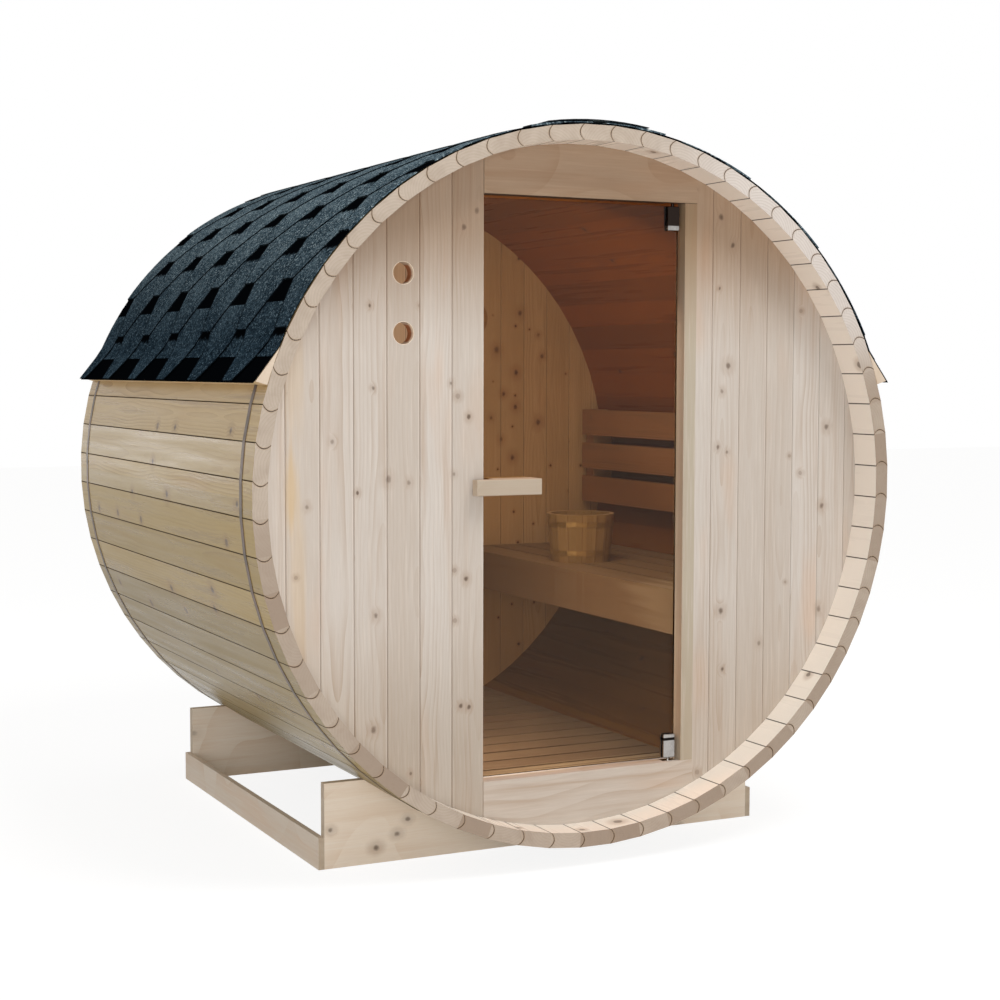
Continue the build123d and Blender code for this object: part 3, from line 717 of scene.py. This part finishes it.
chromeLook = {
    "tone": colour(172, 168, 164), "other": colour(146, 142, 138), "line": colour(200, 198, 194),
    # darker between these heights
    "zones": ((1.7125, 1.80, colour(46, 38, 34)), (0.2905, 0.2990, colour(30, 26, 24))),
    "brush": (1, 1, 0.12), "scale": 900.0, "metallic": 1.0, "smooth": 0.12, "rough": 0.3, "bump": 0.06,
}
bandLook = {
    "tone": colour(104, 84, 72), "other": colour(80, 70, 56), "line": colour(142, 122, 108),
    "brush": (0.15, 1, 0.15), "scale": 320.0, "metallic": 0.5, "smooth": 0.35, "rough": 0.6, "bump": 0.15,
}
hoopLook = {
    "tone": colour(184, 164, 124), "other": colour(160, 140, 104), "line": colour(204, 184, 146),
    "brush": (1, 1, 0.2), "scale": 300.0, "metallic": 0.5, "smooth": 0.35, "rough": 0.55, "bump": 0.1,
}
dial = {
    "centre": (0.375, 0.715, 1.499),
    "rimFrom": 0.050,
    "rimTo": 0.056,
    "pale": colour(214, 184, 140),
    "ring": colour(176, 138, 94),
    "rim": colour(150, 112, 74),
}


def turnedDial():
    # a turned wooden disc: fine lathe rings about its centre
    material, tree, shader = newMaterial("turnedDial")
    x, y, z = splitVector(tree, objectPlace(tree))
    level = joinVector(tree, x, dial["centre"][1], z)
    out = vectorCalc(tree, "DISTANCE", level, dial["centre"])
    lathe = noise(tree, joinVector(tree, out, 0.0, 0.0), 900.0, 2.0)
    grain = noise(tree, joinVector(tree, times(tree, x, 0.1), y, z), 260.0)
    tone = blend(tree, ramp(tree, grain, 0.4, 0.7), dial["pale"], dial["ring"])
    tone = blend(tree, ramp(tree, lathe, 0.45, 0.7, 0.0, 0.3), tone, dial["rim"])
    tone = blend(tree, ramp(tree, out, dial["rimFrom"], dial["rimTo"], 0.0, 0.6), tone, dial["rim"])
    paint(tree, shader, tone, ramp(tree, grain, 0.3, 0.7, 0.5, 0.62))
    addBump(tree, shader, lathe, 0.3, 0.0006)
    return material


finishes += [
    (bronzeGlass(), ["door_glass"]),
    (metal("clampChrome", chromeLook), ["pivot_clamps", "pivot_plates", "handle_bolts"]),
    (metal("bandSteel", bandLook), ["steel_band_front", "steel_band_back", "band_bolts"]),
    (metal("hoopBrass", hoopLook), ["pail_hoops"]),
    (turnedDial(), ["wall_dial"]),
]
print("glass, metal and dial mixed")


# shingles

shingle = {
    "pitch": 0.300,         # from one opening between tabs to the next
    "tabs": 9,              # in the sheet that is cut to each course
    "courses": 8,
    "exposure": 8.7,        # degrees about the barrel, from one course to the next
    "step": 2.175,          # degrees from row to row of a sheet's faces
    "rows": 9,
    "topWidth": 0.072,      # opening at its top
    "frontLean": (0.0, -0.018, -0.036, -0.053, -0.070),   # the opening's front side, top to bottom
    "backLean": (0.0, 0.012, 0.030, 0.054, 0.080),
    "thickness": 0.0018,
    "buttLift": 0.0070,     # outer face above the lining at the lower edge, and how it falls from there
    "buttFall": 0.0026,
    "lapLift": 0.0044,      # the same under the next course
    "lapFall": 0.00192,
    "bandLow": 0.232,       # where the felt's dark band begins, up from a course's lower edge
    "rowShift": 0.155,      # from one course to the next
    "firstOpening": 0.002,  # of the lowest course, from the front end
    "lowestNotch": 25.74,   # degrees above level of the lowest course's notch tops
    "ridgeGap": 0.02,       # where the sheets stop, from the ridge
    "eaveTurn": 22.8,       # where the batten begins
    "eaveFlat": 0.1103,     # how far the lowest course lies flat on it
}
batten = {
    "edge": (0.8785, 0.3693),           # its top, x and height from the barrel's axis
    "run": (0.609, 0, -0.793),          # down its face
    "outward": (0.793, 0, 0.609),
}
feltLook = {
    "tone": colour(98, 120, 132), "light": colour(142, 164, 174), "dark": colour(30, 41, 50),
    "fleck": colour(176, 194, 200), "black": colour(5, 7, 10), "rain": colour(140, 154, 166),
    "grainScale": 300.0, "patchScale": 7.0, "clumpScale": 130.0,
    "rainHeights": (1.80, 1.36), "edgeWidths": (0.006, 0.016), "edgeDepth": 0.9, "bandWander": 0.035,
}


def shingleFelt():
    material, tree, shader = newMaterial("shingleFelt")
    place = objectPlace(tree)
    grains = addNode(tree, "ShaderNodeTexVoronoi", {"Vector": place, "Scale": feltLook["grainScale"]}).outputs
    dice = splitVector(tree, grains["Color"])
    patch = noise(tree, place, feltLook["patchScale"], 4.0, 0.6)
    clump = noise(tree, place, feltLook["clumpScale"], 4.0, 0.8)
    tone = blend(tree, ramp(tree, dice[0], 0.0, 1.0, smooth=False), feltLook["dark"], feltLook["tone"])
    for amount, over in ((ramp(tree, patch, 0.4, 0.7, 0.0, 0.4), "light"),
                         (ramp(tree, clump, 0.54, 0.42, 0.0, 0.75), "dark"),
                         (ramp(tree, clump, 0.56, 0.66, 0.0, 0.7), "light"),
                         (ramp(tree, dice[1], 0.86, 0.98), "fleck")):
        tone = blend(tree, amount, tone, feltLook[over])
    # painted shade: the steep lower courses darker, as the light grazes them
    wet = ramp(tree, splitVector(tree, place)[2], *feltLook["rainHeights"])
    tone = blend(tree, wet, tone, feltLook["rain"], "MULTIPLY")
    # the printed dark band that shows between the tabs of the course above
    lengthwise, up, flat = splitVector(tree, addNode(tree, "ShaderNodeUVMap", uv_map="sheet").outputs[0])
    ragged = times(tree, minus(tree, noise(tree, place, 60.0, 4.0, 0.7), 0.5), feltLook["bandWander"])
    band = ramp(tree, plus(tree, up, ragged), shingle["bandLow"] - 0.004, shingle["bandLow"] + 0.006)
    tone = blend(tree, band, tone, feltLook["black"])
    # dark cut edges and the shadow lines they cast, painted along each tab's two sides, which the sheet's map keeps
    # straight, and along its foot
    tabTop = math.radians(shingle["exposure"]) * barrel["lining"]
    halfOpening = shingle["topWidth"] / 2
    fromOpening = calc(tree, "PINGPONG", minus(tree, lengthwise, halfOpening), shingle["pitch"] / 2)
    fromSide = minus(tree, fromOpening, halfOpening)
    lineWide = ramp(tree, up, tabTop, 0.0, *feltLook["edgeWidths"], smooth=False)
    side = ramp(tree, calc(tree, "DIVIDE", fromSide, lineWide), 1.0, 0.45)
    side = times(tree, side, ramp(tree, up, tabTop + 0.001, tabTop))
    foot = ramp(tree, up, 0.0035, 0.001)
    edges = times(tree, calc(tree, "MAXIMUM", side, foot), feltLook["edgeDepth"])
    tone = blend(tree, edges, tone, feltLook["black"])
    paint(tree, shader, tone, ramp(tree, dice[2], 0.0, 1.0, 0.72, 0.95), 0.0)
    addBump(tree, shader, grains["Distance"], 0.5, 0.0012)
    return material


def startPoint(name, place):
    # a piece of a single point, in edit mode, to be drawn out from there
    deselectAll()
    bpy.ops.mesh.primitive_plane_add(size=0.01, location=place)
    piece = bpy.context.object
    piece.name = name
    settle(piece)
    pickAll(piece)
    bpy.ops.mesh.merge(type="CENTER")
    return piece


def drawOut(x, y, z):
    bpy.ops.mesh.extrude_region_move(TRANSFORM_OT_translate={"value": (x, y, z)})


def sweep(steps, angle):
    # takes all that has been drawn round the barrel's axis
    bpy.ops.mesh.select_all(action="SELECT")
    bpy.ops.mesh.spin(steps=steps, angle=angle, center=barrelCentre, axis=(0, 1, 0))
    objectMode()


def swell(piece, test, grown):
    pick(piece, test)
    bpy.ops.transform.resize(value=(grown, 1, grown), center_override=barrelCentre)
    objectMode()


def shift(piece, x, y, z):
    pickAll(piece)
    bpy.ops.transform.translate(value=(x, y, z))
    objectMode()


def mirrored(piece, name):
    twin = copyPiece(piece, name)
    pickAll(twin)
    bpy.ops.transform.mirror(constraint_axis=(True, False, False), center_override=(0, 0, 0))
    objectMode()
    return twin


def trim(piece, place, outward):
    pickAll(piece)
    bpy.ops.mesh.bisect(plane_co=place, plane_no=outward, clear_outer=True)
    objectMode()


def thicken(piece, thickness, felt):
    faces = [(p.normal, p.center) for p in piece.data.polygons]
    outward = sum(n.dot(Vector((c.x, 0, c.z - barrel["axisHeight"]))) for n, c in faces)
    if outward < 0:
        pickAll(piece, "FACE")
        bpy.ops.mesh.flip_normals()
        objectMode()
    solid = piece.modifiers.new("thickness", "SOLIDIFY")
    solid.thickness = thickness
    solid.offset = -1
    makeActive(piece)
    bpy.ops.object.modifier_apply(modifier=solid.name)
    piece.data.materials.clear()
    piece.data.materials.append(felt)
    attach(piece, "sauna")


def turnOf(place):
    # degrees above level, about the barrel's axis
    return math.degrees(math.atan2(place.z - barrel["axisHeight"], place.x))


def radialLift(rowAngle):
    # height of the sheet's outer face above the lining
    courses = rowAngle / shingle["exposure"]
    if courses <= 1:
        return shingle["buttLift"] - shingle["buttFall"] * courses
    return shingle["lapLift"] - shingle["lapFall"] * (courses - 1)


def makeSheet():
    # one long sheet over the right side, its lower edge level with the axis, to be turned up to each course
    pitch, opening, radius = shingle["pitch"], shingle["topWidth"], barrel["lining"]
    # four marks to a pitch: front, middle and back of the opening, and the middle of the tab
    marks = []
    for number in range(shingle["tabs"]):
        start = number * pitch
        marks += [start, start + opening / 2, start + opening, start + opening + 0.5 * (pitch - opening)]
    sheet = startPoint("shingleSheet", (radius, 0, barrel["axisHeight"]))
    for before, after in zip(marks, marks[1:]):
        drawOut(0, after - before, 0)
    sweep(shingle["rows"], math.radians(shingle["step"] * shingle["rows"]))

    # the row and the mark that each vertex starts from
    rows = [round(turnOf(v.co) / shingle["step"]) for v in sheet.data.vertices]
    columns = [min(range(len(marks)), key=lambda i: abs(marks[i] - v.co.y)) for v in sheet.data.vertices]
    layer = sheet.data.uv_layers.new(name="sheet")
    for loop in sheet.data.loops:
        row, column = rows[loop.vertex_index], columns[loop.vertex_index]
        layer.data[loop.index].uv = (marks[column], math.radians(row * shingle["step"]) * radius)
    notchRow = round(shingle["exposure"] / shingle["step"])
    for leans, offset in ((shingle["frontLean"], 0), (shingle["backLean"], 2)):
        for down in range(1, notchRow + 1):
            pick(sheet, lambda v: rows[v.index] == notchRow - down and columns[v.index] % 4 == offset)
            bpy.ops.transform.translate(value=(0, leans[down], 0))
            objectMode()
    for row in range(shingle["rows"] + 1):
        swell(sheet, lambda v: rows[v.index] == row, (radius + radialLift(row * shingle["step"])) / radius)
    # the openings between tabs
    doomed = {f.index for f in sheet.data.polygons if max(rows[i] for i in f.vertices) <= notchRow
              and min(columns[i] for i in f.vertices) % 4 in (0, 1)}
    pick(sheet, lambda f: f.index in doomed, "FACE")
    bpy.ops.mesh.delete(type="FACE")
    objectMode()
    return sheet


def trimEnds(piece, inset=0.0):
    trim(piece, (0, barrel["frontEnd"] + inset, 0), (0, -1, 0))
    trim(piece, (0, barrel["backEnd"] - inset, 0), (0, 1, 0))


def eaveRow(piece):
    # the rows below the batten's top edge leave the barrel and lie flat on the batten
    top = Vector((batten["edge"][0], 0, batten["edge"][1]))
    run, outward, axis = Vector(batten["run"]), Vector(batten["outward"]), Vector(barrelCentre)
    rows = {}
    for vertex in piece.data.vertices:
        turn = turnOf(vertex.co)
        if turn < shingle["eaveTurn"] - 0.1:
            rows.setdefault(round(turn, 1), []).append(vertex.index)
    lowest = shingle["eaveTurn"] - min(rows)
    for turn, members in rows.items():
        sample = piece.data.vertices[members[0]].co - axis
        lift = math.hypot(sample.x, sample.z) - barrel["lining"]
        down = (shingle["eaveTurn"] - turn) / lowest * shingle["eaveFlat"]
        target = top + run * down + outward * lift
        pick(piece, lambda v: v.index in members)
        bpy.ops.transform.translate(value=(target.x - sample.x, 0, target.z - sample.z))
        objectMode()


def makeRoof(felt):
    master = makeSheet()
    pieces = []
    for course in range(shingle["courses"]):
        sheet = copyPiece(master, "rightShingleCourse%d" % (course + 1))
        phase = (shingle["firstOpening"] - course * shingle["rowShift"]) % shingle["pitch"]
        shift(sheet, 0, barrel["frontEnd"] + phase - shingle["pitch"], 0)
        turn = shingle["lowestNotch"] + (course - 1) * shingle["exposure"]
        pickAll(sheet)
        # with no window, a positive angle turns the sheet up
        bpy.ops.transform.rotate(value=math.radians(turn), orient_axis="Y", center_override=barrelCentre)
        objectMode()
        trimEnds(sheet)
        # nothing of a sheet goes past the ridge
        trim(sheet, (shingle["ridgeGap"], 0, 0), (-1, 0, 0))
        if course == 0:
            eaveRow(sheet)
        for piece in (sheet, mirrored(sheet, "leftShingleCourse%d" % (course + 1))):
            thicken(piece, shingle["thickness"], felt)
            pieces.append(piece)
    removePiece(master)
    return pieces


# strips under the lowest course: "from" counts up from the drip edge, "turns" is in degrees above level,
# and "mapShift" is how far up the felt's map the lower edge lies; past the dark band it is dark all over
starterSheet = {"from": 0.080, "turns": (25.0, 27.5, 30.0, 32.5), "spans": 6,
                "lift": 0.0034, "thickness": 0.0014, "mapShift": 0.097}
dripStrip = {"from": 0.0, "turns": (25.0,), "spans": 6, "lift": 0.0017, "thickness": 0.0013, "mapShift": 1.0}


def makeUnderlay(name, strip, felt):
    # a plain strip: flat over the batten, then up the barrel under the lowest course
    top = Vector((batten["edge"][0], 0, batten["edge"][1] + barrel["axisHeight"]))
    run, outward = Vector(batten["run"]), Vector(batten["outward"])
    length = barrel["backEnd"] - barrel["frontEnd"]
    here = top + run * (shingle["eaveFlat"] - strip["from"]) + outward * strip["lift"]
    sheet = startPoint(name, (here.x, barrel["frontEnd"], here.z))
    for number in range(strip["spans"]):
        drawOut(0, length / strip["spans"], 0)
    bpy.ops.mesh.select_all(action="SELECT")
    steps = [top + outward * strip["lift"]]
    radius = barrel["lining"] + strip["lift"]
    for turn in strip["turns"]:
        about = math.radians(turn)
        steps.append(Vector((radius * math.cos(about), 0, barrel["axisHeight"] + radius * math.sin(about))))
    for place in steps:
        drawOut(place.x - here.x, 0, place.z - here.z)
        here = place
    objectMode()
    layer = sheet.data.uv_layers.new(name="sheet")
    for loop in sheet.data.loops:
        place = sheet.data.vertices[loop.vertex_index].co
        layer.data[loop.index].uv = (place.y, shingle["eaveFlat"] - (place - top).dot(run) + strip["mapShift"])
    for piece in (sheet, mirrored(sheet, name.replace("right", "left"))):
        thicken(piece, strip["thickness"], felt)


ridge = {
    "width": 0.300,
    "count": 8,
    "overlap": 0.040,
    "underside": 0.9600,    # radius about the barrel's axis
    "buttLift": 0.0020,
    "thickness": 0.0018,
    "steps": 8,
    "lengths": 4,           # how many faces long a cap is
    "endGap": 0.0002,       # short of the barrel's ends
    "mapMiddle": 0.62,      # a place between two openings, in pitches
    "mapAcross": 0.3,
    "mapUp": 0.13,
}


def makeRidge(felt):
    # short caps laid over the ridge from back to front, each lapping the one behind it
    front = barrel["frontEnd"]
    exposure = (barrel["backEnd"] - front) / ridge["count"]
    length = exposure + ridge["overlap"]
    half = ridge["width"] / 2 / ridge["underside"]
    radius = ridge["underside"] + ridge["thickness"]
    master = startPoint("ridgeCapMaster",
                        (radius * math.sin(half), front, barrel["axisHeight"] + radius * math.cos(half)))
    for number in range(ridge["lengths"]):
        drawOut(0, length / ridge["lengths"], 0)
    sweep(ridge["steps"], 2 * half)
    for number in range(ridge["lengths"]):
        place = front + number * length / ridge["lengths"]
        grown = 1 + ridge["buttLift"] * (1 - number / ridge["lengths"]) / radius
        swell(master, lambda v: abs(v.co.y - place) < 0.001, grown)
    layer = master.data.uv_layers.new(name="sheet")
    for loop in master.data.loops:
        place = master.data.vertices[loop.vertex_index].co
        # lengthwise it stays in the middle of a tab, clear of the dark sides
        layer.data[loop.index].uv = (shingle["pitch"] * ridge["mapMiddle"] + place.x * ridge["mapAcross"],
                                     (place.y - front) / length * ridge["mapUp"])
    caps = []
    for number in range(ridge["count"]):
        cap = copyPiece(master, "ridgeCap%d" % (number + 1))
        shift(cap, 0, number * exposure, 0)
        trimEnds(cap, ridge["endGap"])
        thicken(cap, ridge["thickness"], felt)
        caps.append(cap)
    removePiece(master)
    return caps


felt = shingleFelt()
makeUnderlay("rightStarterSheet", starterSheet, felt)
makeUnderlay("rightDripStrip", dripStrip, felt)
roofPieces = makeRoof(felt)
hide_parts("roof_shingles_right")
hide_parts("roof_shingles_left")
ridgeCaps = makeRidge(felt)
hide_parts("roof_ridge_cap")
print("roof laid,", len(roofPieces), "sheets of shingles and", len(ridgeCaps), "ridge caps")


# the CAD nodes take their finishes

for material, members in finishes:
    for name in members:
        piece = nodes[name]
        if not piece.material_slots:
            piece.data.materials.append(material)
        for place in piece.material_slots:
            place.material = material
print("finishes given")
